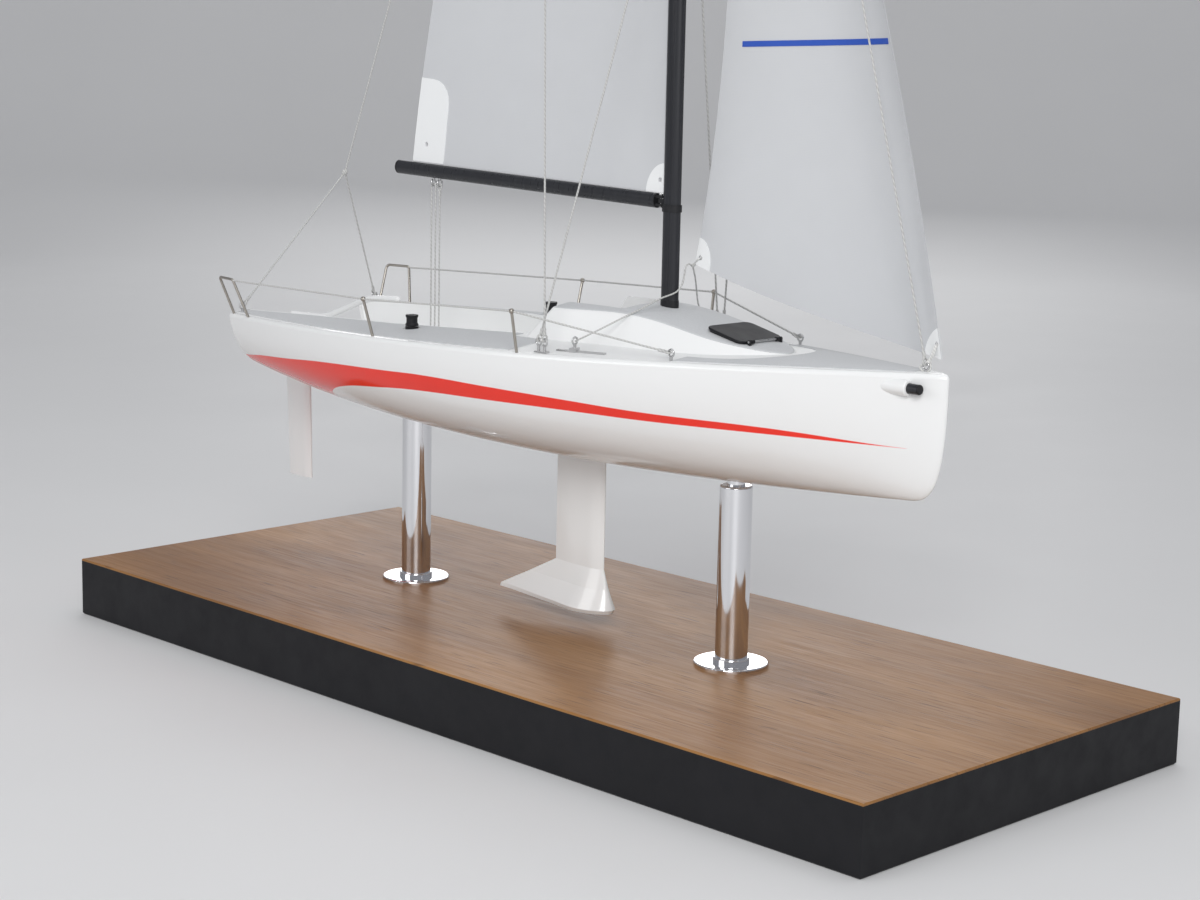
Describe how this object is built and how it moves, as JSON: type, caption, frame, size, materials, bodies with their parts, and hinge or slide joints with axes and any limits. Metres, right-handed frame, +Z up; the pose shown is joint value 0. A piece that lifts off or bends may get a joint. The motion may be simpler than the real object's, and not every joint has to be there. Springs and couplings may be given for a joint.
{
  "type": "model sailboat",
  "caption": "Display model of a sport keelboat: hollow hull with fin keel, hung rudder, swinging rig and sails, on a board with two posts.",
  "frame": {"origin": "middle of the board's flat underside", "axes": "+X to the bow, +Y to port, +Z up along the mast"},
  "size_m": [0.426, 0.174, 0.5896],
  "materials": {
    "board_core": "black painted edge",
    "board_veneer": "satin lacquered mahogany veneer",
    "chrome": "polished",
    "gelcoat": "glossy white paint with a red side band",
    "deck_white": "white paint",
    "nonskid": "light grey non-skid",
    "tint": "black tinted",
    "black_spar": "satin black",
    "black_fitting": "matte black",
    "nickel": "nickel wire",
    "steel": "stainless fittings",
    "sail_film": "fine white sailcloth",
    "sail_patch": "white reinforcement",
    "stripe_blue": "blue draft stripe",
    "thread": "pale grey rigging thread",
    "lashing": "white thread",
    "white_paint": "white paint"
  },
  "bodies": {
    "hull_and_stand": {"base_board": "board_core", "base_veneer": "board_veneer", "stand_flanges": "chrome", "stand_posts": "chrome", "stand_studs": "chrome", "hull_shell": "gelcoat", "deck": "deck_white", "cockpit_tub": "deck_white", "coachroof": "nonskid", "nonskid_panels": "nonskid", "hatch_frame": "black_fitting", "hatch_brackets": "black_fitting", "hatch_pin": "steel", "keel_fin": "white_paint", "keel_bulb": "white_paint", "gudgeons": "steel", "bowsprit_guide": "deck_white", "mast": "black_spar", "mast_collar": "black_fitting", "mast_tangs": "steel", "masthead_crane": "black_fitting", "spreaders": "black_spar", "gooseneck_bracket": "black_fitting", "forestay": "thread", "shrouds": "thread", "backstay": "thread", "lifelines": "thread", "mainsheet": "thread", "mainsheet_block": "black_fitting", "jib_sheet_starboard": "thread", "jib_sheet_port": "thread", "jib_tracks": "steel", "jib_cars": "steel", "chainplates": "steel", "pad_eyes": "steel", "stanchions": "nickel", "pushpit_hoops": "nickel", "winch_bases": "black_fitting"},
    "rudder": {"rudder_blade": "white_paint", "rudder_head": "white_paint", "tiller": "white_paint", "rudder_pintles": "steel"},
    "boom_and_mainsail": {"boom": "black_spar", "boom_cap": "black_fitting", "boom_fork": "black_fitting", "gooseneck_pin": "steel", "boom_eyes": "steel", "mainsail": "sail_film", "mainsail_patches": "sail_patch", "main_halyard": "lashing"},
    "jib_sail": {"jib": "sail_film", "jib_patches": "sail_patch", "jib_draft_stripe": "stripe_blue", "jib_lashings": "lashing"},
    "bowsprit": {"bowsprit_tube": "black_spar", "bowsprit_plug": "black_fitting"},
    "hatch": {"hatch_lid": "tint"},
    "winch_starboard": {"winch_drum_starboard": "black_fitting"},
    "winch_port": {"winch_drum_port": "black_fitting"}
  },
  "joints": [
    {"name": "rudder_turn", "type": "hinge", "parent": "hull_and_stand", "child": "rudder", "pos_m": [-0.1726, 0, 0.111], "axis": [0, 0, 1], "range_deg": [-30, 30]},
    {"name": "boom_swing", "type": "hinge", "parent": "hull_and_stand", "child": "boom_and_mainsail", "pos_m": [0.0389, 0, 0.189], "axis": [0, 0, 1], "range_deg": [-35, 35], "deforming": ["mainsheet"]},
    {"name": "jib_swing", "type": "hinge", "parent": "hull_and_stand", "child": "jib_sail", "pos_m": [0.1622, 0, 0.1428], "axis": [-0.2692, 0, 0.9631], "range_deg": [-16, 12], "deforming": ["jib_sheet_starboard", "jib_sheet_port"]},
    {"name": "bowsprit_slide", "type": "slide", "parent": "hull_and_stand", "child": "bowsprit", "axis": [1, 0, 0], "range_m": [0, 0.05]},
    {"name": "hatch_hinge", "type": "hinge", "parent": "hull_and_stand", "child": "hatch", "pos_m": [0.09115, 0, 0.14364], "axis": [0, 1, 0], "range_deg": [0, 40]},
    {"name": "winch_starboard_spin", "type": "hinge", "parent": "hull_and_stand", "child": "winch_starboard", "pos_m": [-0.057, -0.0368, 0.139], "axis": [0, 0, 1], "continuous": true},
    {"name": "winch_port_spin", "type": "hinge", "parent": "hull_and_stand", "child": "winch_port", "pos_m": [-0.057, 0.0368, 0.139], "axis": [0, 0, 1], "continuous": true}
  ]
}
